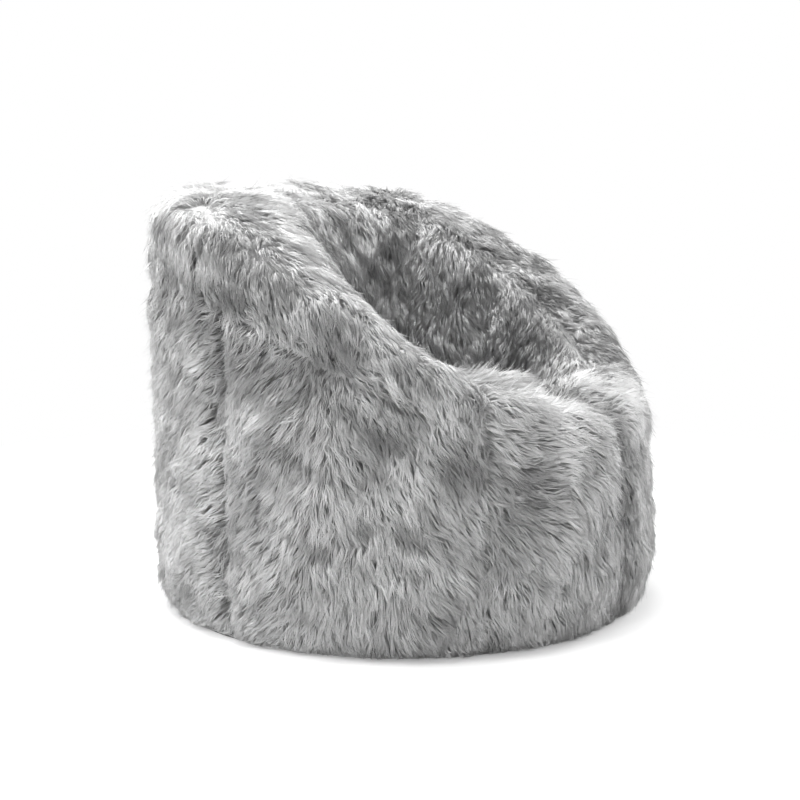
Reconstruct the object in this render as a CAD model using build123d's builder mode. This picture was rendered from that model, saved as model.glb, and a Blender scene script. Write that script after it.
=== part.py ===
from build123d import *

import math
import os

os.makedirs("parts", exist_ok=True)

# A bean bag armchair in long-wool sheepskin. Front is -Y, back is +Y, up is +Z, the floor is z = 0
# and the origin is the middle of the base. Angles round the bag start at the front, in degrees, and
# run to the sitter's right (-X). All lengths are in millimetres.

# Bag, measured to the mean surface of the pile
back_height = 676.0
front_height = 351.0
seat_height = 341.0
seat_crown = 14.0
belly_radius = 412.0
floor_draw = 15.0
hem_height = 3.0
belly_forward = 9.0
belly_height = 74.0
belly_round = 120.0
top_draw = 6.0
top_backward = 8.0
crest_fall_front = 5.0
crest_fall_back = 14.0

# Rise of the arms from the seat front to the back
arm_start = 10.0
arm_end = 128.0
back_rise_share = 0.07
side_slump = 17.0

# Seat well, an ellipse at the rim and a smaller one at the seat, by the widths left round it
well_forward = 76.0
arm_top_width = 180.0
arm_foot_width = 215.0
end_top_width = 197.0
end_foot_width = 237.0
front_crest_share = 0.44
front_lip_round = 60.0

# Rim panels along the crest
rim_width_arm = 42.0
rim_width_back = 120.0
rim_fall_arm = 62.0
rim_fall_back = 130.0
rim_place = 0.56
shoulder_share = 0.72
lip_share = 0.92
least_round = 3.0

# Sheepskin, liner and fill, one inside the other
pelt_thickness = 30.0
seam_draw = 7.0
seam_fullness = 0.7
seam_gap = 0.8
collar_gap = 2.8
liner_gap = 3.0
liner_thickness = 2.0
fill_gap = 2.5
section_step = 14.0

# Seams, as angles round the bag
arm_seam_right = 43.0
arm_seam_left = 33.0
back_quarter_seam = 103.0
inner_arm_seam = 78.0
inner_back_seam = 115.0

# Base
base_draw = 14.0
base_thickness = 4.0
hem_band_width = 18.0
hem_band_height = 4.5
liner_base_draw = 61.0
liner_corner_round = 45.0
liner_shoulder_round = 62.0
fill_core_radius = 40.0
fill_core_overlap = 6.0
fill_dimple = 2.0

# Cover zip
zip_offset = 110.0
zip_length = 400.0
zip_end_room = 50.0
slot_width = 17.0
tape_width = 20.0
tape_thickness = 1.0
tooth_pitch = 4.0
tooth_width = 2.2
tooth_length = 3.6
tooth_height = 2.8
teeth_spine = 1.4
chain_gap = 1.4
stop_length = 4.0
stop_clearance = 1.0
slider_length = 20.0
slider_width = 13.0
slider_wall = 1.6
slider_clearance = 0.5
slider_rail = 1.2
slider_post_length = 5.0
slider_post_width = 0.9
slider_round = 3.0
lug_length = 4.4
lug_width = 3.6
lug_drop = 2.8
pin_radius = 0.8
pin_clearance = 0.05
pin_drop = 1.55
pull_length = 38.0
pull_width = 9.0
pull_thickness = 1.6
pull_lug_gap = 0.3
pull_eye_radius = 1.15
pull_window_length = 8.0
pull_hole_radius = 2.2

# Liner zip
liner_zip_offset = 12.0
liner_zip_length = 300.0
liner_zip_room = 20.0
liner_zip_lift = 7.5
trough_clearance = 4.0

# Values that follow from the sizes above
floor_radius = belly_radius - floor_draw
top_radius = belly_radius - top_draw
base_radius = floor_radius - base_draw
liner_base_radius = base_radius - liner_base_draw
well_top_x = belly_radius - arm_top_width
well_top_y = belly_radius - end_top_width
well_seat_x = belly_radius - arm_foot_width
well_seat_y = belly_radius - end_foot_width
liner_outer = pelt_thickness + liner_gap
liner_inner = liner_outer + liner_thickness
fill_depth = liner_inner + fill_gap
tape_bottom = base_thickness + hem_band_height
tape_top = tape_bottom + tape_thickness
teeth_bottom = tape_bottom - tooth_height
slot_length = zip_length + 2 * zip_end_room
slider_travel = zip_length - slider_length - 2 * stop_clearance
slider_start = slider_travel / 2
slider_top = tape_top + slider_clearance + slider_wall
slider_bottom = teeth_bottom - slider_clearance - slider_wall
liner_bottom = base_thickness
liner_floor = liner_bottom + liner_thickness
liner_tape_bottom = liner_floor + liner_zip_lift
liner_lift = liner_tape_bottom - tape_bottom
liner_slider_start = (liner_zip_length - slider_length - 2 * stop_clearance) / 2


def ease(angle, start, end):
    """Smooth step from 0 at the start angle to 1 at the end angle."""
    share = min(max((angle - start) / (end - start), 0.0), 1.0)
    return share * share * (3 - 2 * share)


def rise(angle):
    """Height of the crest as a share of the climb from the seat front to the back."""
    angle = abs(math.remainder(angle, 360))
    return (1 - back_rise_share) * ease(angle, arm_start, arm_end) + back_rise_share * angle / 180


def ellipse_reach(angle, half_x, half_y):
    """Distance from the axis to an ellipse that stands forward of the axis."""
    sine = math.sin(math.radians(angle))
    cosine = math.cos(math.radians(angle))
    a = (sine / half_x) ** 2 + (cosine / half_y) ** 2
    b = cosine * well_forward / half_y**2
    c = (well_forward / half_y) ** 2 - 1
    return (b + math.sqrt(b * b - a * c)) / a


def corners(angle):
    """Corner points of the bag's section, from the floor edge over the crest to the seat seam."""
    cosine = math.cos(math.radians(angle))
    slump = side_slump * math.sin(math.radians(angle))
    height = front_height + (back_height - front_height + slump) * rise(angle)
    fall = crest_fall_front + (crest_fall_back - crest_fall_front) * rise(angle)
    return [
        (floor_radius, hem_height),
        (belly_radius + belly_forward * cosine, belly_height),
        (top_radius - top_backward * cosine, height),
        (ellipse_reach(angle, well_top_x, well_top_y), height - fall),
        (ellipse_reach(angle, well_seat_x, well_seat_y), seat_height),
    ]


def along(start, end, distance):
    """Point at a distance from start towards end."""
    length = math.dist(start, end)
    return tuple(s + (e - s) * distance / length for s, e in zip(start, end))


def turn(before, corner, after):
    """Tangent of half the turn at a corner."""
    heading_in = math.atan2(corner[1] - before[1], corner[0] - before[0])
    heading_out = math.atan2(after[1] - corner[1], after[0] - corner[0])
    return math.tan(abs(math.remainder(heading_out - heading_in, 2 * math.pi)) / 2)


def inset(points, depth):
    """Path parallel to a path of straight lines, at a depth to its left."""
    moved = []
    for start, end in zip(points, points[1:]):
        length = math.dist(start, end)
        normal = (-(end[1] - start[1]) / length, (end[0] - start[0]) / length)
        moved.append(tuple((p[0] + normal[0] * depth, p[1] + normal[1] * depth) for p in (start, end)))
    result = [moved[0][0]]
    for (a, b), (c, d) in zip(moved, moved[1:]):
        cross = (b[0] - a[0]) * (d[1] - c[1]) - (b[1] - a[1]) * (d[0] - c[0])
        share = ((c[0] - a[0]) * (d[1] - c[1]) - (c[1] - a[1]) * (d[0] - c[0])) / cross
        result.append((a[0] + (b[0] - a[0]) * share, a[1] + (b[1] - a[1]) * share))
    result.append(moved[-1][1])
    return result


def tighter(radius, depth):
    """Corner radius of a path that runs at a depth inside a rounded corner."""
    return max(radius - depth, least_round)


def section(angle):
    """Named paths of the section at an angle, each with its corner radii."""
    floor, belly, shoulder, lip, seam = corners(angle)
    crest = math.dist(shoulder, lip)
    width = rim_width_arm + (rim_width_back - rim_width_arm) * rise(angle) ** 2
    first = crest * rim_place - width / 2
    second = crest - first - width
    shoulder_turn = turn(belly, shoulder, lip)
    lip_turn = turn(shoulder, lip, seam)
    fall = rim_fall_arm + (rim_fall_back - rim_fall_arm) * rise(angle)
    rim_start = along(shoulder, belly, fall)
    rim_end = along(shoulder, lip, first + width)
    shoulder_round = shoulder_share * min(first, fall) / shoulder_turn
    lip_round = lip_share * min(second, math.dist(lip, seam)) / lip_turn
    front_round = front_crest_share * crest / shoulder_turn
    return {
        "wall": ([floor, belly, rim_start], [belly_round]),
        "rim": ([rim_start, shoulder, rim_end], [shoulder_round]),
        "inner": ([rim_end, lip, seam], [lip_round]),
        "front": ([floor, belly, shoulder, lip, seam], [belly_round, front_round, front_lip_round]),
        "whole": (
            [floor, belly, shoulder, lip, seam],
            [belly_round, max(shoulder_round, liner_shoulder_round), lip_round],
        ),
    }


def seam_plane(angle):
    """Upright plane through the bag's axis, local x outward and local y up."""
    sine = math.sin(math.radians(angle))
    cosine = math.cos(math.radians(angle))
    return Plane(origin=(0, 0, 0), x_dir=(-sine, -cosine, 0), z_dir=(-cosine, sine, 0))


def stations(start, end):
    """Evenly spaced angles from start to end."""
    count = max(2, math.ceil((end - start) / section_step))
    return [start + (end - start) * i / count for i in range(count + 1)]


def path(points, radii):
    """Line through points, rounded at the corners between its ends."""
    if radii:
        return FilletPolyline(*points, radius=radii)
    return Line(*points)


def strip(angle, outer, inner):
    """Closed section between two parallel paths, in the upright plane at an angle."""
    with BuildSketch(seam_plane(angle)) as face:
        with BuildLine():
            outside = path(*outer)
            inside = path(*inner)
            Line(outside @ 0, inside @ 0)
            Line(outside @ 1, inside @ 1)
        make_face()
    return face.sketch


def pelt(label, start, end, name):
    """Sheepskin panel between two seams, drawn in where it's sewn."""
    start, end = sorted((start, end))
    trim = math.degrees(seam_gap / 2 / belly_radius)
    sections = []
    for angle in stations(start + trim, end - trim):
        swell = math.sin(math.pi * (angle - start) / (end - start))
        skin = seam_draw * (1 - swell**seam_fullness)
        points, radii = section(angle)[name]
        if name == "rim":
            outer_edge, shoulder, inner_edge = points
            points = [along(outer_edge, shoulder, collar_gap), shoulder, along(inner_edge, shoulder, seam_gap)]
        outer = inset(points, skin), [tighter(r, skin) for r in radii]
        inner = inset(points, pelt_thickness), [tighter(r, pelt_thickness) for r in radii]
        sections.append(strip(angle, outer, inner))
    with BuildPart() as panel:
        loft(sections)
    save(panel.part, label)
    return panel.part


def save(solid, label):
    """Name a finished piece and write its file."""
    solid.label = label
    export_step(solid, f"parts/{label}.step")


# Sheepskin panels, each kind once on the sitter's right and once on the left
for side, sign, arm_seam in (("right", 1, arm_seam_right), ("left", -1, arm_seam_left)):
    pelt(f"front_panel_{side}", 0, sign * arm_seam, "front")
    pelt(f"side_panel_{side}", sign * arm_seam, sign * back_quarter_seam, "wall")
    pelt(f"back_panel_{side}", sign * back_quarter_seam, sign * 180, "wall")
    pelt(f"rim_panel_{side}", sign * arm_seam, sign * 180, "rim")
    pelt(f"inner_arm_panel_{side}", sign * arm_seam, sign * inner_arm_seam, "inner")
    pelt(f"inner_side_panel_{side}", sign * inner_arm_seam, sign * inner_back_seam, "inner")
pelt("inner_back_panel", inner_back_seam, 360 - inner_back_seam, "inner")

# Seat panel, its crown cut from a large ball
seat_half = (well_seat_x + well_seat_y) / 2
crown_radius = (seat_half**2 + seat_crown**2) / (2 * seat_crown)
with BuildPart() as seat_panel:
    with BuildSketch(Plane.XY.offset(seat_height - pelt_thickness)):
        with Locations((0, -well_forward)):
            Ellipse(well_seat_x - seam_gap, well_seat_y - seam_gap)
    extrude(amount=pelt_thickness + 2 * seat_crown)
    with Locations((0, -well_forward, seat_height + seat_crown - crown_radius)):
        Sphere(crown_radius, mode=Mode.INTERSECT)
save(seat_panel.part, "seat_panel")

# Base cloth in two panels, with a doubled hem on each side of the zip's slot
for label, sign in (("base_front_panel", -1), ("base_rear_panel", 1)):
    far_side = (Align.CENTER, Align.MIN if sign < 0 else Align.MAX)
    near_side = (Align.CENTER, Align.MAX if sign < 0 else Align.MIN)
    with BuildPart() as base:
        with BuildSketch():
            Circle(base_radius)
            with Locations((0, zip_offset + sign * seam_gap / 2)):
                Rectangle(3 * base_radius, 2 * base_radius, align=far_side, mode=Mode.SUBTRACT)
            with Locations((0, zip_offset)):
                Rectangle(slot_length, slot_width, mode=Mode.SUBTRACT)
        extrude(amount=base_thickness)
        with BuildSketch(Plane.XY.offset(base_thickness)):
            with Locations((0, zip_offset + sign * slot_width / 2)):
                Rectangle(slot_length, hem_band_width, align=near_side)
        extrude(amount=hem_band_height)
    save(base.part, label)


def zip_chain(prefix, offset, lift, length):
    """Tapes, teeth and end stops of a closed zip along X, at an offset along Y."""
    count = int(length / tooth_pitch)
    for end, sign in (("front", -1), ("rear", 1)):
        edge = offset + sign * chain_gap / 2
        inward = (Align.CENTER, Align.MAX if sign < 0 else Align.MIN)
        with BuildPart() as tape:
            with BuildSketch(Plane.XY.offset(tape_bottom + lift)):
                with Locations((0, edge)):
                    Rectangle(length + zip_end_room, tape_width, align=inward)
            extrude(amount=tape_thickness)
        save(tape.part, f"{prefix}_tape_{end}")
        with BuildPart() as teeth:
            with BuildSketch(Plane.XY.offset(teeth_bottom + lift)):
                with Locations((0, edge + sign * (tooth_length - teeth_spine))):
                    Rectangle(length, teeth_spine, align=inward)
                with Locations((0, edge + sign * tooth_length / 2)):
                    with GridLocations(tooth_pitch, 0, count, 1):
                        Rectangle(tooth_width, tooth_length)
            extrude(amount=tooth_height)
        save(teeth.part, f"{prefix}_teeth_{end}")
    reach = (length + stop_length) / 2
    with BuildPart() as stops:
        with BuildSketch(Plane.XY.offset(teeth_bottom + lift)):
            with Locations((-reach, offset)):
                Rectangle(stop_length, 2 * tooth_length + chain_gap)
            with Locations((reach, offset)):
                with GridLocations(0, tooth_length + chain_gap, 1, 2):
                    Rectangle(stop_length, tooth_length)
        extrude(amount=tooth_height)
    save(stops.part, f"{prefix}_stops")


def zip_slider(label, start, offset, lift, lug):
    """Slider round a zip's teeth: two plates, a post between them, and rails outside the teeth."""
    low = slider_bottom + lift
    high = slider_top + lift
    channel = low + slider_wall
    with BuildPart() as slider:
        for level in (low, high - slider_wall):
            with BuildSketch(Plane.XY.offset(level)):
                with Locations((start, offset)):
                    RectangleRounded(slider_length, slider_width, slider_round)
            extrude(amount=slider_wall)
        with BuildSketch(Plane.XY.offset(channel)):
            with Locations((start - (slider_length - slider_post_length) / 2, offset)):
                Rectangle(slider_post_length, slider_post_width)
        extrude(amount=high - slider_wall - channel)
        with BuildSketch(Plane.XY.offset(channel)):
            with Locations((start, offset)):
                with GridLocations(0, slider_width - slider_rail, 1, 2):
                    Rectangle(slider_length - 2 * slider_round, slider_rail)
        extrude(amount=tooth_height)
        if lug:
            with BuildSketch(Plane.XY.offset(low)):
                with Locations((start, offset)):
                    Rectangle(lug_length, lug_width)
            extrude(amount=-lug_drop)
            with Locations((start, offset, low - pin_drop)):
                Cylinder(pin_radius + pin_clearance, lug_width, rotation=(90, 0, 0), mode=Mode.SUBTRACT)
    save(slider.part, label)


# Cover zip, closed, with its slider at the sitter's left end
zip_chain("zip", zip_offset, 0, zip_length)
zip_slider("zip_slider", slider_start, zip_offset, 0, True)

# Pull on the cover zip's slider, lying flat along the zip
pin_level = slider_bottom - pin_drop
arm_width = (pull_width - lug_width) / 2 - pull_lug_gap
with BuildPart() as zip_pull:
    with BuildSketch(Plane.XY.offset(pin_level - pull_thickness / 2)) as tab:
        with Locations((slider_start, zip_offset)):
            Rectangle(pull_length, pull_width, align=(Align.MAX, Align.CENTER))
        fillet(tab.vertices().group_by(Axis.X)[0], pull_width / 3)
        with Locations((slider_start, zip_offset)):
            Rectangle(
                pull_window_length,
                pull_width - 2 * arm_width,
                align=(Align.MAX, Align.CENTER),
                mode=Mode.SUBTRACT,
            )
        with Locations((slider_start - pull_length + pull_width / 2, zip_offset)):
            Circle(pull_hole_radius, mode=Mode.SUBTRACT)
    extrude(amount=pull_thickness)
    with Locations((slider_start, zip_offset, pin_level)):
        with GridLocations(0, pull_width - arm_width, 1, 2):
            Cylinder(pull_eye_radius, arm_width, rotation=(90, 0, 0))
        Cylinder(pin_radius, pull_width, rotation=(90, 0, 0))
save(zip_pull.part, "zip_pull")


def lining(angle, depth, bottom):
    """Path of the lining at a depth, from the base seam to the seat seam, with its corner radii."""
    points, radii = section(angle)["whole"]
    low, belly, shoulder, lip, seam = inset(points, depth)
    seat = seat_height - depth
    corner = along(belly, low, math.dist(belly, low) * (belly[1] - bottom) / (belly[1] - low[1]))
    edge = along(lip, seam, math.dist(lip, seam) * (lip[1] - seat) / (lip[1] - seam[1]))
    rounds = [tighter(liner_corner_round, depth - liner_outer)] + [tighter(r, depth) for r in radii]
    return [(liner_base_radius, bottom), corner, belly, shoulder, lip, edge], rounds


# Liner panels, left and right, from the base seam over the crest to the seat seam
trim = math.degrees(seam_gap / 2 / belly_radius)
for side, start, end in (("right", 0, 180), ("left", -180, 0)):
    sections = []
    for angle in stations(start + trim, end - trim):
        outer = lining(angle, liner_outer, liner_bottom)
        inner = lining(angle, liner_inner, liner_floor)
        sections.append(strip(angle, outer, inner))
    with BuildPart() as liner_panel:
        loft(sections)
    save(liner_panel.part, f"liner_panel_{side}")

# Liner seat panel, inside the seam at the foot of the well
seam_points = []
for angle in stations(0, 360)[:-1]:
    reach = lining(angle, liner_outer, liner_bottom)[0][-1][0] - seam_gap
    seam_points.append((-reach * math.sin(math.radians(angle)), -reach * math.cos(math.radians(angle))))
with BuildPart() as liner_seat_panel:
    with BuildSketch(Plane.XY.offset(seat_height - liner_inner)):
        with BuildLine():
            Spline(*seam_points, periodic=True)
        make_face()
    extrude(amount=liner_thickness)
save(liner_seat_panel.part, "liner_seat_panel")

# Liner base, lifted over the cover zip and lifted again to carry its own zip
cover_trough = (
    zip_offset,
    slot_length + 2 * trough_clearance,
    slot_width + 2 * hem_band_width + 2 * trough_clearance,
    slider_top + trough_clearance,
)
liner_slot_length = liner_zip_length + 2 * liner_zip_room
liner_trough = (
    liner_zip_offset,
    liner_slot_length + 2 * zip_end_room,
    2 * tape_width + 2 * trough_clearance + chain_gap,
    liner_tape_bottom - liner_thickness,
)
upward = (Align.CENTER, Align.CENTER, Align.MIN)
with BuildPart() as liner_base_panel:
    with BuildSketch(Plane.XY.offset(liner_bottom)):
        Circle(liner_base_radius - seam_gap)
    extrude(amount=liner_thickness)
    for offset, length, width, top in (cover_trough, liner_trough):
        wall = 2 * liner_thickness
        with Locations((0, offset, liner_bottom)):
            Box(length + wall, width + wall, top + liner_thickness - liner_bottom, align=upward)
            Box(length, width, top - liner_bottom, align=upward, mode=Mode.SUBTRACT)
    with Locations((0, liner_zip_offset, liner_bottom)):
        Box(liner_slot_length, slot_width, liner_tape_bottom, align=upward, mode=Mode.SUBTRACT)
save(liner_base_panel.part, "liner_base_panel")

# Liner zip, its slider without a pull
zip_chain("liner_zip", liner_zip_offset, liner_lift, liner_zip_length)
zip_slider("liner_zip_slider", liner_slider_start, liner_zip_offset, liner_lift, False)

# Bead fill, two half turns joined round a core, with grooves over the two zips
fill_top = seat_height - fill_depth
with BuildPart() as bead_fill:
    for start, end in ((0, 180), (-180, 0)):
        sections = []
        for angle in stations(start, end):
            points, radii = lining(angle, fill_depth, liner_floor)
            points = [(fill_core_radius, liner_floor)] + points[1:] + [(fill_core_radius, fill_top)]
            with BuildSketch(seam_plane(angle), mode=Mode.PRIVATE) as half:
                with BuildLine():
                    FilletPolyline(*points, radius=[0] + radii + [0, 0], close=True)
                make_face()
            sections.append(half.sketch)
        loft(sections)
    with Locations((0, 0, liner_floor + fill_dimple)):
        Cylinder(
            fill_core_radius + fill_core_overlap,
            fill_top - liner_floor - 2 * fill_dimple,
            align=upward,
        )
    for offset, length, width, top in (cover_trough, liner_trough):
        room = 2 * liner_thickness + 2 * fill_gap
        top = max(top + liner_thickness, liner_tape_bottom + slider_top - tape_bottom)
        with Locations((0, offset, 0)):
            Box(length + room, width + room, top + fill_gap, align=upward, mode=Mode.SUBTRACT)
save(bead_fill.part, "bead_fill")
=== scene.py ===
import math

import bmesh
import bpy
import numpy as np
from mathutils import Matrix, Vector
from mathutils.bvhtree import BVHTree


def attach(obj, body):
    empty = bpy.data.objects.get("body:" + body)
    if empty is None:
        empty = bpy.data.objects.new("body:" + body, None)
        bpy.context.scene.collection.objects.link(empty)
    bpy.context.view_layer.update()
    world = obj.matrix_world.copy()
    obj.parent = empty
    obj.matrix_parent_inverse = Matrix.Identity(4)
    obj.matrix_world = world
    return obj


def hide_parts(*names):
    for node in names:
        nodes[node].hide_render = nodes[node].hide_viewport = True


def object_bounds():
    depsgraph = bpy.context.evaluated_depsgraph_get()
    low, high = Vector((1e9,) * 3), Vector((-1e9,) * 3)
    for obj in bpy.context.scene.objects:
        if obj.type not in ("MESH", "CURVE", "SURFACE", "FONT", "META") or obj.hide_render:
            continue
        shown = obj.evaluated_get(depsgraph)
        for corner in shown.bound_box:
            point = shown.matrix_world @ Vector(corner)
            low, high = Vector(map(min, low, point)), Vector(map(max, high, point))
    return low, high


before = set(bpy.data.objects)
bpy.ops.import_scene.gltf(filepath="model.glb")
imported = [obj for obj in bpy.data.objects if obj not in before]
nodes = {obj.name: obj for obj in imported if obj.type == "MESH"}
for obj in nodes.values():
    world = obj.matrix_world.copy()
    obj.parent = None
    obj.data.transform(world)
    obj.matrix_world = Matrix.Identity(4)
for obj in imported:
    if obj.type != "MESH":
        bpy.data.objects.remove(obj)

cad_low, cad_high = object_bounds()

# Sheepskin hides: each skin is cut to one panel of the bag and sewn to its neighbours with the wool
# outside. A skin is drawn in at its seams, and the beads behind press it out between them.
HIDE_GRAIN = 0.014
HIDE_PRESS = 0.48
HIDE_PRESSURE = 3.5
HIDE_STEPS = 12
HIDE_MOST_SWELL = 0.008
SEWN_WITHIN = 0.024
WELD_WITHIN = 0.00005

SKINS = [
    "front_panel_right", "front_panel_left", "side_panel_right", "side_panel_left",
    "back_panel_right", "back_panel_left", "rim_panel_right", "rim_panel_left",
    "inner_arm_panel_right", "inner_arm_panel_left", "inner_side_panel_right",
    "inner_side_panel_left", "inner_back_panel", "seat_panel",
]


def choose(piece):
    """Make a piece the only selected and active one."""
    bpy.ops.object.select_all(action="DESELECT")
    piece.select_set(True)
    bpy.context.view_layer.objects.active = piece


def welded_copy(cad_name, name):
    """Copy of a CAD node as a new piece, its loose triangles welded."""
    piece = nodes[cad_name].copy()
    piece.data = nodes[cad_name].data.copy()
    piece.name = name
    piece.data.name = name
    piece.parent = None
    piece.matrix_world.identity()
    piece.hide_render = False
    bpy.context.scene.collection.objects.link(piece)
    choose(piece)
    bpy.ops.object.mode_set(mode="EDIT")
    bpy.ops.mesh.select_all(action="SELECT")
    bpy.ops.mesh.remove_doubles(threshold=WELD_WITHIN)
    bpy.ops.mesh.normals_make_consistent(inside=False)
    bpy.ops.object.mode_set(mode="OBJECT")
    piece.data.materials.clear()
    return piece


def coordinates(piece):
    """Vertex positions of a piece as an array."""
    flat = np.empty(len(piece.data.vertices) * 3)
    piece.data.vertices.foreach_get("co", flat)
    return flat.reshape(-1, 3)


def move_points(piece, points):
    """Set the vertex positions of a piece."""
    piece.data.vertices.foreach_set("co", points.ravel())
    piece.data.update()


def tree_of(pieces):
    """Search tree over the faces of several pieces."""
    points, faces = [], []
    for piece in pieces:
        start = len(points)
        points += [v.co.copy() for v in piece.data.vertices]
        faces += [[start + i for i in p.vertices] for p in piece.data.polygons]
    return BVHTree.FromPolygons(points, faces)


class Value:
    """A shader socket that adds Math nodes when it is used in an expression."""

    def __init__(self, tree, socket):
        self.tree = tree
        self.socket = socket

    def maths(self, operation, *values):
        """Result of a Math node on the given values."""
        return node(self.tree, "ShaderNodeMath", {"operation": operation}, dict(enumerate(values)))

    def __add__(self, other):
        return self.maths("ADD", self, other)

    __radd__ = __add__

    def __mul__(self, other):
        return self.maths("MULTIPLY", self, other)

    __rmul__ = __mul__

    def __sub__(self, other):
        return self.maths("SUBTRACT", self, other)

    def __rsub__(self, other):
        return self.maths("SUBTRACT", other, self)


def node(tree, kind, settings, inputs, output=0):
    """Add a node, set it up, link or fill its sockets, and give back one of its outputs."""
    made = tree.nodes.new(kind)
    for key, value in settings.items():
        if key == "stops":
            ramp = made.color_ramp
            while len(ramp.elements) < len(value):
                ramp.elements.new(0.5)
            for element, (place, colour) in zip(ramp.elements, value):
                element.position = place
                element.color = (*colour, 1.0)
        else:
            setattr(made, key, value)
    for key, value in inputs.items():
        if isinstance(value, Value):
            tree.links.new(value.socket, made.inputs[key])
        else:
            made.inputs[key].default_value = value
    return Value(tree, made.outputs[output])


def surface(name, settings):
    """New material with a Principled shader, its plain numbers set, and its node tree."""
    material = bpy.data.materials.new(name)
    material.use_nodes = True
    shader = material.node_tree.nodes["Principled BSDF"]
    for key, value in settings.items():
        shader.inputs[key].default_value = value
    return material, material.node_tree, shader


def greys(*stops):
    """Neutral colour ramp from pairs of place and lightness."""
    return {"stops": [(place, (lightness,) * 3) for place, lightness in stops]}


hide_leather, tree, shader = surface("hide_leather", {"Roughness": 0.85, "Specular IOR Level": 0.2})
place = node(tree, "ShaderNodeTexCoord", {}, {}, "Object")
pores = node(tree, "ShaderNodeTexNoise", {}, {"Vector": place, "Scale": 140.0, "Detail": 3.0}, "Fac")
tint = node(tree, "ShaderNodeValToRGB", greys((0.3, 0.46), (0.7, 0.54)), {0: pores})
tree.links.new(tint.socket, shader.inputs["Base Color"])

lining = [nodes[n] for n in ("liner_panel_right", "liner_panel_left", "liner_seat_panel")]
lining_tree = tree_of(lining)


def lining_reach(points):
    """Nearest point of the liner for each point, and how far it is."""
    found = [lining_tree.find_nearest(Vector(p)) for p in points]
    near = np.array([f[0] for f in found])
    return near, np.array([f[3] for f in found])


def puff_out(piece, before):
    """Press a skin out between its seams with a short cloth simulation, no further than a limit."""
    _, reach = lining_reach(before)
    sewn = piece.vertex_groups.new(name="sewn")
    sewn.add([int(i) for i in np.nonzero(reach < SEWN_WITHIN)[0]], 1.0, "REPLACE")
    cloth = piece.modifiers.new("Cloth", "CLOTH")
    cloth.settings.quality = 4
    cloth.settings.mass = 0.4
    cloth.settings.tension_stiffness = 25
    cloth.settings.compression_stiffness = 25
    cloth.settings.bending_stiffness = 2.0
    cloth.settings.use_pressure = True
    cloth.settings.uniform_pressure_force = HIDE_PRESSURE
    cloth.settings.vertex_group_mass = "sewn"
    cloth.settings.effector_weights.gravity = 0.0
    cloth.point_cache.frame_start = 1
    cloth.point_cache.frame_end = HIDE_STEPS
    for step in range(1, HIDE_STEPS + 1):
        bpy.context.scene.frame_set(step)
    choose(piece)
    bpy.ops.object.modifier_apply(modifier="Cloth")
    bpy.context.scene.frame_set(1)
    moved = coordinates(piece) - before
    length = np.linalg.norm(moved, axis=1, keepdims=True)
    moved *= np.minimum(1.0, HIDE_MOST_SWELL / np.maximum(length, 1e-9))
    piece.vertex_groups.clear()
    return before + moved


def hide_of(skin):
    """One skin of the cover, puffed out and pressed to the depth that the wool grows from."""
    piece = welded_copy(skin, f"hide_{skin}")
    piece.data.remesh_voxel_size = HIDE_GRAIN
    choose(piece)
    bpy.ops.object.voxel_remesh()
    points = coordinates(piece)
    points = puff_out(piece, points)
    near, _ = lining_reach(points)
    move_points(piece, near + (points - near) * HIDE_PRESS)
    bpy.ops.object.shade_smooth()
    piece.data.materials.append(hide_leather)
    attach(piece, "bag")
    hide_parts(skin)
    return piece


hides = {skin: hide_of(skin) for skin in SKINS}

# Wool: long crimped fleece that grows from every skin, combed down the sides and forward over the rim
# and seat. Fibres stick together into pointed locks, dark at the root and pale at the tip.
WOOL_PER_M2 = 138000
WOOL_PER_PIECE = 32000
WOOL_LENGTH = 0.052
WOOL_HEIGHT = 0.0180
WOOL_RADIUS = 0.00060
WOOL_OVER_FLOOR = 0.003
WOOL_RINGS = np.array([0.0, 0.48, 1.0])
WOOL_LIFT = np.array([0.0, 0.85, 1.0])
WOOL_ALONG_SKIN = 0.92
ROOT_DEPTH = 0.003
ROOTS_FACE_OUT = 0.35
LENGTH_VARIES = (0.08, 0.08, 0.08)
HEIGHT_VARIES = (0.12, 0.07, 0.05)
HEIGHT_LIMITS = (0.5, 1.35)
HEIGHT_RIPPLE = 0.25
STRAY_SHARE = 0.07
STRAY_TIPS = (1.4, 2.1)
FRINGE_REACH = 0.026
BAG_RADIUS = 0.40

# Tufts and the smaller locks in them, and how far each ring of a strand is drawn to their middle
TUFT_SIZE = 0.030
LOCK_SIZE = 0.009
LOCK_WAVE = 0.0032
LEAN_VARIES = (0.13, 0.08, 0.05)
CURLY = 1.6
TUFT_PULL = {1: 0.06, 2: 0.20}
LOCK_PULL = {1: 0.30, 2: 0.58}

# Seams and hem, with covered seams and partings as pairs of angle round the bag and strength
SEAM_PARTING = 0.026
SEAM_SHORTER = 0.055
SEAM_LENGTH = 0.72
SEAM_HEIGHT = 0.62
COVERED_SEAMS = [(103.0, 0.35), (43.0, 0.9), (-33.0, 0.9), (-103.0, 0.35)]
COVERED_WIDTH = 9.0
PARTINGS = [(103.0, 0.5), (43.0, 0.15), (-33.0, 0.3), (-103.0, 0.5)]
PARTING_WIDTH = 0.045
FRONT_CREASE_X = -0.024
CREASE_SHORTEST = 0.022
LIP_HIGHER = 0.6
HEM_REACH = 0.10
HEM_FULLNESS = 0.6
HEM_DROP = 0.25

# Whorls: angle round the bag, height, size, how much darker its middle is painted as shade, and how
# strongly the wool turns
WHORLS = [(37.0, 0.27, 0.065, 0.30, 1.6), (128.0, 0.62, 0.060, 0.42, 0.2), (73.5, 0.47, 0.040, 0.25, 0.8)]
WHORL_FLATTER = 0.45

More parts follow.
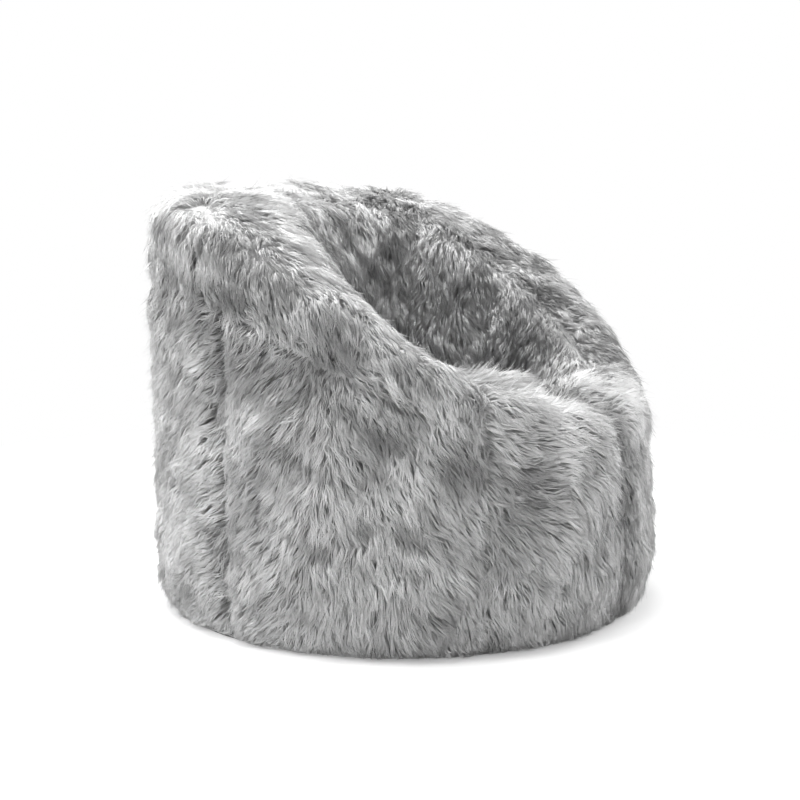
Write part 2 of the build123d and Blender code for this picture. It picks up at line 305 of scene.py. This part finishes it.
# Tones of the wool, from 0 dark to 1 pale, in equal columns of its map
WOOL_TONES = 32
TONE_MIDDLE = 0.55
TONE_PATCHES = 0.26
TONE_SMALL_PATCHES = 0.16
TONE_VARIES = (0.09, 0.05, 0.04)
# Painted shade: wool made darker along the seams, where it parts into creases
SEAM_PAINTED_SHADE = 0.10
# Inner skins: partly darker wool, partly painted shade of the deep well
INNER_DARKER_WOOL_AND_SHADE = 0.07
# Painted light: the upward-facing seat made paler, as if lit from above
SEAT_PAINTED_LIGHT = 0.28
# Painted highlight on the inner top edge of the rim, much stronger on the sitter's right arm, nearer the
# camera
CREST_PAINTED_HIGHLIGHT = {"rim_panel_right": 0.36, "rim_panel_left": 0.08}
# Painted light: the top of the front, under the seat's edge, made paler from a height upwards
FRONT_TOP_PAINTED_LIGHT = 0.24
FRONT_TOP_LIGHT_FROM = 0.26
FRONT_TOP_LIGHT_OVER = 0.07
FRONT_SEAM_SHADE = 0.34
FRONT_SHADE_X = FRONT_CREASE_X + 0.014
FRONT_SHADE_WIDTH = 0.030
COLLAR_FRINGE = 0.040
COLLAR_SHADE = 0.34
COLLAR_SHADE_WIDTH = 0.028

fleece, tree, shader = surface(
    "fleece", {"Roughness": 0.9, "Specular IOR Level": 0.08, "Sheen Weight": 0.15, "Sheen Roughness": 0.6}
)
strand_map = node(tree, "ShaderNodeUVMap", {"uv_map": "OFBake"}, {})
split = node(tree, "ShaderNodeSeparateXYZ", {}, {0: strand_map}, "X")
along = Value(tree, split.socket.node.outputs["Y"])
column = split * WOOL_TONES
column = column.maths("FLOOR", column)
root_to_tip = greys((0.0, 0.42), (0.3, 0.52), (0.7, 0.62), (1.0, 0.70))
shade = node(tree, "ShaderNodeValToRGB", root_to_tip, {0: along})
dark_to_pale = {0: column, 1: 0.0, 2: WOOL_TONES - 1.0, 3: 0.45, 4: 1.30}
level = node(tree, "ShaderNodeMapRange", {}, dark_to_pale, "Result")
wool_colour = node(
    tree, "ShaderNodeMix", {"data_type": "RGBA", "blend_type": "MULTIPLY"},
    {0: 1.0, 6: shade, 7: level}, 2,
)
tree.links.new(wool_colour.socket, shader.inputs["Base Color"])

hide_tree = tree_of(hides.values())


def unit(vectors):
    """Vectors of length one."""
    return vectors / np.maximum(np.linalg.norm(vectors, axis=1, keepdims=True), 1e-9)


def ripple(points, size, seed):
    """Smooth seeded noise between about -1 and 1 at each point."""
    draw = np.random.default_rng(seed)
    total = np.zeros(len(points))
    for _ in range(6):
        wave = draw.normal(0.0, 1.0, 3) * 2 * math.pi / size
        total += np.sin(points @ wave + draw.uniform(0, 2 * math.pi))
    return total / 3.0


def whorl_at(angle, height):
    """Place on the skins that lies at an angle round the bag and a height."""
    outward = Vector((-math.sin(math.radians(angle)), -math.cos(math.radians(angle)), 0.0))
    return np.array(hide_tree.ray_cast(outward + Vector((0, 0, height)), -outward)[0])


whorls = [(whorl_at(angle, height), *rest) for angle, height, *rest in WHORLS]


def nearness(points, centre, size):
    """1 at the middle of a whorl, falling to 0 outside it."""
    return np.exp(-np.sum((points - centre) ** 2, 1) / size**2)


def angle_round(points):
    """Angle of each point round the bag in degrees, 0 at the front and growing to the sitter's right."""
    return np.degrees(np.arctan2(-points[:, 0], -points[:, 1]))


def outward_at(points):
    """Level direction away from the middle of the bag at each point."""
    return unit(points * np.array([1.0, 1.0, 0.0]))


def share_over(values, start, width, most=1.0):
    """0 up to a start, then growing by 1 over each width, up to a most."""
    return np.clip((values - start) / width, 0.0, most)


def comb(points, normals, skin):
    """Direction the wool lies in at each root, along the skin."""
    angle = angle_round(points)
    turn = np.radians(angle)
    round_bag = np.stack([-np.cos(turn), np.sin(turn), np.zeros(len(points))], 1)
    down = np.array([0.0, 0.0, -1.0])
    swirl = ripple(points, 0.26, 5) * 0.45 + ripple(points, 0.10, 6) * 0.6
    if skin.startswith(("side", "back")):
        # Down the sides and back, turned away from the middle of each side
        side = np.sign(angle)
        spread = np.clip((np.abs(angle) - 72.0) / 26.0, -0.9, 0.75)
        way = down + round_bag * (side * spread + 0.5 * swirl)[:, None]
    elif skin.startswith("front"):
        # Down the front, and near its top forward and across to the sitter's left
        high = share_over(points[:, 2], 0.16, 0.16, 1.3)
        across = 1.2 if skin.endswith("right") else 0.4
        way = down * (1 - 0.4 * high)[:, None] + round_bag * (0.9 * swirl - across * high)[:, None]
        way[:, 1] -= 0.5 * high
    elif skin.startswith("rim"):
        # Over the rim to both sides, and forward along the arms
        outward = outward_at(points)
        over = np.clip(1.8 * np.sum(normals * outward, 1), -0.9, 1.1)
        back = share_over(np.abs(angle), 95.0, 40.0)
        way = outward * (over + 0.5 * swirl)[:, None] + 0.6 * np.clip(over, 0.0, 1.0)[:, None] * down
        way[:, 1] -= 0.8 * (1 - 1.4 * back) * (1 - 0.5 * np.clip(over, 0.0, 1.0))
    elif skin.startswith("inner"):
        # Down into the well
        way = down + round_bag * (0.6 * swirl)[:, None]
    else:
        # Forward over the seat, a little to the sitter's left
        way = np.array([0.35, -1.0, 0.0]) + 0.5 * swirl[:, None] * np.array([1.0, 0.0, 0.0])
    if skin.startswith(("front", "side", "back")):
        for seam, strength in PARTINGS:
            off = np.radians(angle - seam) * BAG_RADIUS + 0.012 * ripple(points, 0.16, 8)
            apart = np.sign(off) * strength * np.exp(-((off / PARTING_WIDTH) ** 2))
            way = way + round_bag * apart[:, None]
    for centre, size, _, twist in whorls:
        turning = twist / size * nearness(points, centre, size)
        way = way + np.cross(normals, points - centre) * turning[:, None]
    way = way - normals * np.sum(way * normals, 1, keepdims=True)
    return unit(way)


def roots_on(piece, draw):
    """Evenly scattered roots on the outer side of a hide, with the normals there."""
    piece.data.calc_loop_triangles()
    corners = np.empty(len(piece.data.loop_triangles) * 3, np.int32)
    piece.data.loop_triangles.foreach_get("vertices", corners)
    points = coordinates(piece)[corners.reshape(-1, 3)]
    cross = np.cross(points[:, 1] - points[:, 0], points[:, 2] - points[:, 0])
    middle = points.mean(1)
    near, _ = lining_reach(middle)
    outer = np.sum(unit(cross) * unit(middle - near), 1) > ROOTS_FACE_OUT
    points, cross = points[outer], cross[outer]
    area = np.linalg.norm(cross, axis=1) / 2
    count = int(area.sum() * WOOL_PER_M2)
    spaced = (np.arange(count) + draw.random(count)) / count
    picked = np.minimum(np.searchsorted(np.cumsum(area) / area.sum(), spaced), len(area) - 1)
    a, b = draw.random((2, count))
    fold = a + b > 1
    a, b = np.where(fold, 1 - a, a), np.where(fold, 1 - b, b)
    first, second, third = points[picked].transpose(1, 0, 2)
    roots = first + (second - first) * a[:, None] + (third - first) * b[:, None]
    return roots, unit(cross[picked])


def seam_reach(skin, points):
    """How far each root is from the neighbouring skins."""
    others = tree_of([hide for name, hide in hides.items() if name != skin])
    return np.array([others.find_nearest(Vector(p))[3] for p in points])


collar_tree = tree_of([hides["rim_panel_right"], hides["rim_panel_left"]])


def under_collar(points):
    """How much darker the wool is in the patchy shade below the collar's fringe."""
    reach = np.array([collar_tree.find_nearest(Vector(p))[3] for p in points])
    band = np.exp(-(((reach - COLLAR_FRINGE) / COLLAR_SHADE_WIDTH) ** 2))
    return COLLAR_SHADE * band * np.clip(0.75 + 0.6 * ripple(points, 0.12, 61), 0.0, 1.2)


def clumps(roots, size, seed):
    """Number of the clump that each root falls in, and how many roots each clump has."""
    cell = np.floor(roots / size + ripple(roots, 3 * size, seed)[:, None] * 0.35).astype(np.int64)
    clump = np.unique(cell, axis=0, return_inverse=True)[1].ravel()
    return clump, np.bincount(clump)


def drawn_together(clump, members, points, share):
    """Points moved some share of the way to the middle of their clump."""
    middle = np.stack([np.bincount(clump, points[:, k]) for k in range(3)], 1) / members[:, None]
    return points + (middle[clump] - points) * share[:, None]


def strands(skin, seed):
    """Centre lines of all the strands on one skin, three points each, with a tone for each strand."""
    draw = np.random.default_rng(seed)
    roots, normals = roots_on(hides[skin], draw)
    count = len(roots)
    way = comb(roots, normals, skin)
    side = np.cross(normals, way)
    tuft, tuft_members = clumps(roots, TUFT_SIZE, 22)
    lock, lock_members = clumps(roots, LOCK_SIZE, 21)

    def vary(each_tuft, each_lock, each_strand):
        """Random change of each strand: what its tuft, its lock and the strand itself add."""
        by_tuft = draw.normal(0, each_tuft, len(tuft_members))[tuft]
        by_lock = draw.normal(0, each_lock, len(lock_members))[lock]
        return by_tuft + by_lock + draw.normal(0, each_strand, count)

    curl = 1.0 if skin.startswith(("front", "side", "back")) else CURLY
    tuft_lean, lock_lean, strand_lean = LEAN_VARIES
    way = unit(way + side * vary(tuft_lean * curl, lock_lean, strand_lean)[:, None])
    reach = seam_reach(skin, roots)
    angle = angle_round(roots)
    covered = np.zeros(count)
    for place, share in COVERED_SEAMS:
        covered += share * np.exp(-(((angle - place) / COVERED_WIDTH) ** 2))
    seam = 1 - (1 - share_over(reach, 0.0, SEAM_PARTING)) * (1 - np.minimum(covered, 1.0))
    length = WOOL_LENGTH * (1 + vary(*LENGTH_VARIES))
    length *= SEAM_LENGTH + (1 - SEAM_LENGTH) * share_over(reach, 0.0, SEAM_SHORTER)
    height = WOOL_HEIGHT * np.clip(1 + vary(*HEIGHT_VARIES), *HEIGHT_LIMITS)
    height *= 1 + HEIGHT_RIPPLE * ripple(roots, 0.11, 11)
    height *= SEAM_HEIGHT + (1 - SEAM_HEIGHT) * seam
    if skin.startswith(("front", "seat")):
        height *= 1 + LIP_HIGHER * np.clip(normals[:, 2], 0.0, 1.0)
    if skin == "front_panel_right":
        to_crease = np.maximum(FRONT_CREASE_X - roots[:, 0], 0.0) / np.maximum(way[:, 0], 0.08)
        kept = np.maximum(np.minimum(length, to_crease), CREASE_SHORTEST)
        length = np.where(roots[:, 0] < FRONT_CREASE_X, kept, length)
    for centre, size, _, _ in whorls:
        height *= 1 - WHORL_FLATTER * nearness(roots, centre, size)
    stray = draw.random(count) < STRAY_SHARE
    tip = np.ones(count)
    tip[stray] = draw.uniform(*STRAY_TIPS, stray.sum())
    wave = draw.normal(0, LOCK_WAVE, (2, len(lock_members)))[:, lock]
    bend = [0.0, wave[0], wave[1] - 0.6 * wave[0]]
    line = np.empty((count, 3, 3))
    line[:, 0] = roots - normals * ROOT_DEPTH
    for ring in (1, 2):
        ahead = length * WOOL_RINGS[ring] * WOOL_ALONG_SKIN
        goal = roots + way * ahead[:, None] + side * bend[ring][:, None]
        rise = height * WOOL_LIFT[ring] * (tip if ring == 2 else 1.0)
        for i in range(count):
            near, normal, _, _ = hide_tree.find_nearest(Vector(goal[i]))
            line[i, ring] = near + normal * rise[i]
    for ring in (1, 2):
        pull = TUFT_PULL[ring] * draw.uniform(0.0, 1.6, count)
        line[:, ring] = drawn_together(tuft, tuft_members, line[:, ring], pull)
        pull = LOCK_PULL[ring] * draw.uniform(0.2, 1.3, count)
        line[:, ring] = drawn_together(lock, lock_members, line[:, ring], pull)
    if skin.startswith(("front", "side", "back")):
        hang = 1 - share_over(roots[:, 2], 0.0, HEM_REACH)
        root_reach = np.linalg.norm(roots[:, :2], axis=1)
        for ring in (1, 2):
            tucked = np.linalg.norm(line[:, ring, :2], axis=1)
            wanted = root_reach + HEM_FULLNESS * height * WOOL_LIFT[ring]
            spread = 1 + hang * (np.maximum(wanted / tucked, 1.0) - 1)
            line[:, ring, :2] *= spread[:, None]
            line[:, ring, 2] -= hang * HEM_DROP * length * WOOL_RINGS[ring]
    line = np.clip(line, np.array(cad_low) - FRINGE_REACH, np.array(cad_high) + FRINGE_REACH)
    line[:, :, 2] = np.maximum(line[:, :, 2], WOOL_OVER_FLOOR)
    patches = TONE_PATCHES * ripple(roots, 0.10, 31) + TONE_SMALL_PATCHES * ripple(roots, 0.042, 32)
    # The last term is painted shade in the creases along the seams
    tone = TONE_MIDDLE + curl * patches + vary(*TONE_VARIES) - SEAM_PAINTED_SHADE * (1 - seam)
    if skin.startswith(("side", "back")):
        tone -= under_collar(roots)
    if skin.startswith("inner"):
        # Darker wool together with painted shade in the well
        tone -= INNER_DARKER_WOOL_AND_SHADE
    elif skin.startswith("seat"):
        # Painted light on the upward-facing seat
        tone += SEAT_PAINTED_LIGHT
    elif skin.startswith("rim"):
        # Painted highlight where the rim turns in towards the well
        inward = -np.sum(normals * outward_at(roots), 1)
        tone += CREST_PAINTED_HIGHLIGHT[skin] * np.clip(2 * inward + 0.5, 0.0, 1.0)
    elif skin.startswith("front"):
        # Painted light on the top of the front
        tone += FRONT_TOP_PAINTED_LIGHT * share_over(roots[:, 2], FRONT_TOP_LIGHT_FROM, FRONT_TOP_LIGHT_OVER)
        tone -= FRONT_SEAM_SHADE * np.exp(-(((roots[:, 0] - FRONT_SHADE_X) / FRONT_SHADE_WIDTH) ** 2))
    # Painted shade in the parted middle of each whorl
    for centre, size, shade, _ in whorls:
        tone -= shade * nearness(roots, centre, size)
    return line, np.clip(np.floor(tone * WOOL_TONES), 0, WOOL_TONES - 1).astype(int)


def wool_piece(name, line, tone, seed):
    """Mesh of closed strands round their centre lines, each with its column of the map."""
    draw = np.random.default_rng(seed)
    count = len(line)
    heading = unit(line[:, 2] - line[:, 0])
    across = unit(np.cross(heading, draw.normal(0, 1, (count, 3))))
    other = np.cross(heading, across)
    spin = np.array([0, 2 * math.pi / 3, 4 * math.pi / 3])
    ring = np.cos(spin)[None, :, None] * across[:, None] + np.sin(spin)[None, :, None] * other[:, None]
    radius = WOOL_RADIUS * draw.uniform(0.7, 1.25, count)
    points = np.empty((count, 5, 3))
    points[:, 0] = line[:, 0]
    points[:, 1:4] = line[:, 1, None] + ring * radius[:, None, None]
    points[:, 4] = line[:, 2]
    faces = []
    for k in range(3):
        this, after = 1 + k, 1 + (k + 1) % 3
        faces += [(0, after, this), (this, after, 4)]
    faces = np.array(faces)
    mesh = bpy.data.meshes.new(name)
    total = count * len(faces)
    mesh.vertices.add(count * 5)
    mesh.vertices.foreach_set("co", points.ravel())
    mesh.loops.add(total * 3)
    corners = faces[None] + (np.arange(count) * 5)[:, None, None]
    mesh.loops.foreach_set("vertex_index", corners.ravel().astype(np.int32))
    mesh.polygons.add(total)
    mesh.polygons.foreach_set("loop_start", np.arange(0, total * 3, 3, dtype=np.int32))
    mesh.update(calc_edges=True)
    mesh.polygons.foreach_set("use_smooth", np.ones(total, bool))
    height = np.repeat(WOOL_RINGS, [1, 3, 1])
    place = np.array([0.5, 0.15, 0.5, 0.85, 0.5])
    uv = np.empty((count, len(faces), 3, 2))
    uv[..., 0] = (tone[:, None, None] + place[faces][None]) / WOOL_TONES
    uv[..., 1] = 0.02 + 0.96 * height[faces][None]
    layer = mesh.uv_layers.new(name="OFBake")
    layer.data.foreach_set("uv", uv.ravel())
    mesh.materials.append(fleece)
    piece = bpy.data.objects.new(name, mesh)
    bpy.context.scene.collection.objects.link(piece)
    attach(piece, "bag")


for index, skin in enumerate(SKINS):
    line, tone = strands(skin, 100 + index)
    order = np.lexsort((line[:, 0, 1], np.round(line[:, 0, 2] * 8)))
    line, tone = line[order], tone[order]
    parts = math.ceil(len(line) / WOOL_PER_PIECE)
    for part in range(parts):
        chunk = slice(part * len(line) // parts, (part + 1) * len(line) // parts)
        wool_piece(f"wool_{skin}_{part + 1}", line[chunk], tone[chunk], 500 + 10 * index + part)

# Base: two panels of dark woven cloth under the bag, sewn to the hems of the skins round the edge and
# to the zip that crosses it. The cloth lies on the floor, a little slack between its seams.
BASE_SLACK = 0.0012
BASE_CUT = {"base_front_panel": (0.78, 0.50), "base_rear_panel": (0.75, 0.29)}
BASE_THREAD = 0.0026
ZIP_Y = 0.110
FLAT_BY_ZIP = 0.03
SLACK_GROWS_OVER = 0.05
CLOTH_EDGE = 0.030


def soft_copy(cad_name, name, longest):
    """Copy of a soft CAD node with its long edges cut up, so that the cloth can wrinkle."""
    piece = welded_copy(cad_name, name)
    work = bmesh.new()
    work.from_mesh(piece.data)
    for _ in range(8):
        long_edges = [e for e in work.edges if e.calc_length() > longest]
        if not long_edges:
            break
        bmesh.ops.subdivide_edges(work, edges=long_edges, cuts=1)
        bmesh.ops.triangulate(work, faces=work.faces)
    work.to_mesh(piece.data)
    work.free()
    piece.data.update()
    return piece


def finish_soft(piece, cad_name, material):
    """Material, body and CAD node of a soft piece."""
    piece.data.materials.clear()
    piece.data.materials.append(material)
    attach(piece, "bag")
    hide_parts(cad_name)


def woven(name, thread, dark, light):
    """Plain weave: threads over and under each other in both directions."""
    material, tree, shader = surface(name, {"Roughness": 0.9, "Specular IOR Level": 0.2})
    place = node(tree, "ShaderNodeTexCoord", {}, {}, "Object")
    across = node(tree, "ShaderNodeSeparateXYZ", {}, {0: place}, "X")
    along = Value(tree, across.socket.node.outputs["Y"])
    turns = 2 * math.pi / thread
    weave = across.maths("SINE", across * turns) * along.maths("SINE", along * turns)
    fuzz = node(tree, "ShaderNodeTexNoise", {}, {"Vector": place, "Scale": 60.0, "Detail": 4.0}, "Fac")
    tint = node(tree, "ShaderNodeValToRGB", greys((0.15, dark), (0.85, light)), {0: weave * 0.35 + fuzz})
    tree.links.new(tint.socket, shader.inputs["Base Color"])
    relief = node(tree, "ShaderNodeBump", {}, {"Strength": 0.4, "Distance": 0.0006, "Height": weave})
    tree.links.new(relief.socket, shader.inputs["Normal"])
    return material


base_weave = woven("base_weave", BASE_THREAD, 0.06, 0.14)
for panel, cut in BASE_CUT.items():
    piece = soft_copy(panel, panel.replace("panel", "cloth"), CLOTH_EDGE)
    points = coordinates(piece)
    loose = share_over(np.abs(points[:, 1] - ZIP_Y), FLAT_BY_ZIP, SLACK_GROWS_OVER)
    slack = BASE_SLACK * (0.5 + 0.5 * ripple(points, 0.14, 41)) * loose
    lowest = points[:, 2] < 0.001
    points[:, 2] += np.where(lowest, np.clip(slack, 0.0, BASE_SLACK), 0.0)
    move_points(piece, points)
    finish_soft(piece, panel, base_weave)

# Zip: two woven tapes sewn into the slit of the base, metal teeth, end stops, and a metal slider with
# its pull. The pull lies flat along the teeth, and a row of thread holds each tape.
TAPE_CUT = (0.020, 0.501)
TAPE_EDGE = 0.012
STITCH_FROM_ZIP = 0.012
STITCH_PITCH = 0.004
STITCH_LENGTH = 0.0030
STITCH_RADIUS = 0.00035
STITCH_OVER_FLOOR = 0.0001

tape_weave = woven("tape_weave", 0.0016, 0.05, 0.10)


def metal(name, colour, roughness):
    """Cast metal with fine scratches from use."""
    material, tree, shader = surface(name, {"Metallic": 1.0})
    shader.inputs["Base Color"].default_value = (*colour, 1)
    place = node(tree, "ShaderNodeTexCoord", {}, {}, "Object")
    wear = node(tree, "ShaderNodeTexNoise", {}, {"Vector": place, "Scale": 900.0, "Detail": 2.0}, "Fac")
    tree.links.new((wear * 0.2 + roughness).socket, shader.inputs["Roughness"])
    return material


def dress(names, material):
    """Give CAD nodes whose shape stays a better material."""
    for name in names:
        for slot in nodes[name].material_slots:
            slot.material = material


def zip_tape(cad_name, cut):
    """One woven tape of a zip, stretched to its cut length."""
    piece = soft_copy(cad_name, f"{cad_name}_cloth", TAPE_EDGE)
    points = coordinates(piece)
    points[:, 0] *= cut[1] / np.ptp(points[:, 0])
    move_points(piece, points)
    finish_soft(piece, cad_name, tape_weave)


zip_tape("zip_tape_front", TAPE_CUT)
zip_tape("zip_tape_rear", TAPE_CUT)
nickel = metal("nickel", (0.58, 0.57, 0.55), 0.28)
dress(["zip_teeth_front", "zip_teeth_rear", "zip_stops", "zip_slider", "zip_pull"], nickel)

thread, tree, shader = surface("thread", {"Roughness": 0.8})
shader.inputs["Base Color"].default_value = (0.16, 0.16, 0.16, 1)
bpy.ops.object.select_all(action="DESELECT")
bpy.ops.mesh.primitive_uv_sphere_add(segments=6, ring_count=4, radius=1.0)
stitches = bpy.context.object
stitches.name = "zip_stitching"
stitches.scale = (STITCH_LENGTH / 2, STITCH_RADIUS, STITCH_RADIUS)
stitches.location = (-TAPE_CUT[1] / 2 + STITCH_PITCH, ZIP_Y - STITCH_FROM_ZIP, STITCH_OVER_FLOOR)
bpy.ops.object.transform_apply(location=True, rotation=True, scale=True)
stitches_in_row = int(TAPE_CUT[1] / STITCH_PITCH) - 1
for count, step in ((stitches_in_row, (STITCH_PITCH, 0, 0)), (2, (0, 2 * STITCH_FROM_ZIP, 0))):
    row = stitches.modifiers.new("Row", "ARRAY")
    row.count = count
    row.use_relative_offset = False
    row.use_constant_offset = True
    row.constant_offset_displace = step
    bpy.ops.object.modifier_apply(modifier="Row")
bpy.ops.object.shade_smooth()
stitches.data.materials.append(thread)
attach(stitches, "bag")

# Liner: an inner bag of thin pale cloth in two halves with a seat and a base panel, closed by its own
# zip with plastic teeth, so that the beads stay in when the cover comes off.
LINER_WRINKLE = 0.0004
LINER_CUT = {
    "liner_panel_right": (0.95, 1.75), "liner_panel_left": (0.95, 1.75),
    "liner_seat_panel": (0.45, 0.39), "liner_base_panel": (0.65, 0.65),
}
LINER_TAPE_CUT = (0.020, 0.350)

liner_weave = woven("liner_weave", 0.0020, 0.62, 0.72)
for panel, cut in LINER_CUT.items():
    piece = soft_copy(panel, panel.replace("panel", "cloth"), CLOTH_EDGE)
    normals = np.empty(len(piece.data.vertices) * 3)
    piece.data.vertices.foreach_get("normal", normals)
    points = coordinates(piece)
    wrinkle = LINER_WRINKLE * ripple(points, 0.07, 51)
    move_points(piece, points + normals.reshape(-1, 3) * wrinkle[:, None])
    finish_soft(piece, panel, liner_weave)

zip_tape("liner_zip_tape_front", LINER_TAPE_CUT)
zip_tape("liner_zip_tape_rear", LINER_TAPE_CUT)
dress(["liner_zip_slider"], metal("grey_metal", (0.42, 0.42, 0.42), 0.35))
white_plastic, tree, shader = surface("white_plastic", {"Roughness": 0.45})
shader.inputs["Base Color"].default_value = (0.7, 0.7, 0.7, 1)
dress(["liner_zip_teeth_front", "liner_zip_teeth_rear", "liner_zip_stops"], white_plastic)

# Filling: white foam beads that take the shape of the liner and flow as the sitter moves. They lie loose
# in the liner and aren't fixed to it.
BEAD_SIZE = 0.0045
BEADS_EDGE = 0.040

foam_beads, tree, shader = surface("foam_beads", {"Roughness": 0.6, "Specular IOR Level": 0.3})
place = node(tree, "ShaderNodeTexCoord", {}, {}, "Object")
bead = node(tree, "ShaderNodeTexVoronoi", {}, {"Vector": place, "Scale": 1 / BEAD_SIZE}, "Distance")
# Paler in the middle of each bead and darker towards its edge: painted shade in the gaps between the
# beads
tint = node(tree, "ShaderNodeValToRGB", greys((0.2, 0.82), (0.8, 0.45)), {0: bead})
tree.links.new(tint.socket, shader.inputs["Base Color"])
relief = node(tree, "ShaderNodeBump", {}, {"Strength": 0.8, "Distance": 0.002, "Height": 1.0 - bead})
tree.links.new(relief.socket, shader.inputs["Normal"])
beads = soft_copy("bead_fill", "beads", BEADS_EDGE)
finish_soft(beads, "bead_fill", foam_beads)

# Floor, light and camera: a white studio with soft lights above, on both sides and in front. The floor
# fades to white away from the chair, and the camera stands low in front of the sitter's right arm.
CAMERA_AZIMUTH = -61.0
CAMERA_ELEVATION = 10.5
CAMERA_DISTANCE = 3.4
CAMERA_TARGET = Vector((0.0, 0.0, 0.33))
CAMERA_LENS = 91.8
CAMERA_SHIFT = -0.0025
FLOOR_WHITENESS = 0.30
FLOOR_FADES = (0.55, 1.5)
WORLD_LIGHT = 0.68

bpy.ops.object.select_all(action="DESELECT")
bpy.ops.mesh.primitive_plane_add(size=14, location=(0, 0, -0.0005))
floor = bpy.context.object
floor.name = "floor"
floor_white, tree, shader = surface("floor_white", {"Roughness": 0.9, "Specular IOR Level": 0.1})
shader.inputs["Base Color"].default_value = (0.9, 0.9, 0.9, 1)


def seen_directly(tree):
    """1 for rays that show the background: from the camera, or through gloss or glass."""
    rays = node(tree, "ShaderNodeLightPath", {}, {}, "Is Camera Ray")
    glossy = Value(tree, rays.socket.node.outputs["Is Glossy Ray"])
    through = Value(tree, rays.socket.node.outputs["Is Transmission Ray"])
    return rays + glossy + through


white = node(tree, "ShaderNodeEmission", {}, {"Color": (1, 1, 1, 1), "Strength": 1.0})
lit = Value(tree, shader.outputs[0])
place = node(tree, "ShaderNodeTexCoord", {}, {}, "Object")
away = node(tree, "ShaderNodeVectorMath", {"operation": "LENGTH"}, {0: place}, "Value")
to_white = {0: away, 1: FLOOR_FADES[0], 2: FLOOR_FADES[1], 3: FLOOR_WHITENESS, 4: 1.0}
fade = node(tree, "ShaderNodeMapRange", {}, to_white, "Result")
mixed = node(tree, "ShaderNodeMixShader", {}, {0: seen_directly(tree) * fade, 1: lit, 2: white})
tree.links.new(mixed.socket, tree.nodes["Material Output"].inputs["Surface"])
floor.data.materials.append(floor_white)

world = bpy.data.worlds.new("studio")
bpy.context.scene.world = world
world.use_nodes = True
tree = world.node_tree
background = tree.nodes["Background"]
background.inputs["Color"].default_value = (1, 1, 1, 1)
shown = seen_directly(tree)
shown = shown.maths("MINIMUM", shown, 1.0)
strength = shown * (1.0 - WORLD_LIGHT) + WORLD_LIGHT
tree.links.new(strength.socket, background.inputs["Strength"])


def soft_light(name, place, size, power):
    """Square area light aimed at the chair."""
    data = bpy.data.lights.new(name, "AREA")
    data.size = size
    data.energy = power
    light = bpy.data.objects.new(name, data)
    light.location = place
    light.rotation_euler = (CAMERA_TARGET - Vector(place)).to_track_quat("-Z", "Y").to_euler()
    bpy.context.scene.collection.objects.link(light)


soft_light("top_light", (-0.3, 0.3, 3.2), 2.0, 118)
soft_light("left_light", (-1.9, 2.5, 1.9), 1.8, 82)
soft_light("right_light", (2.5, -1.6, 1.7), 1.8, 68)
soft_light("front_light", (-2.6, -2.4, 1.6), 2.2, 6)

camera_data = bpy.data.cameras.new("camera")
camera_data.lens = CAMERA_LENS
camera_data.sensor_width = 36.0
camera = bpy.data.objects.new("camera", camera_data)
turn, tilt = math.radians(CAMERA_AZIMUTH), math.radians(CAMERA_ELEVATION)
away = Vector((math.sin(turn) * math.cos(tilt), -math.cos(turn) * math.cos(tilt), math.sin(tilt)))
camera.location = CAMERA_TARGET + away * CAMERA_DISTANCE
camera.rotation_euler = away.to_track_quat("Z", "Y").to_euler()
camera_data.shift_x = CAMERA_SHIFT
camera_data.shift_y = CAMERA_SHIFT
bpy.context.scene.collection.objects.link(camera)
bpy.context.scene.camera = camera
bpy.context.scene.view_settings.view_transform = "Standard"
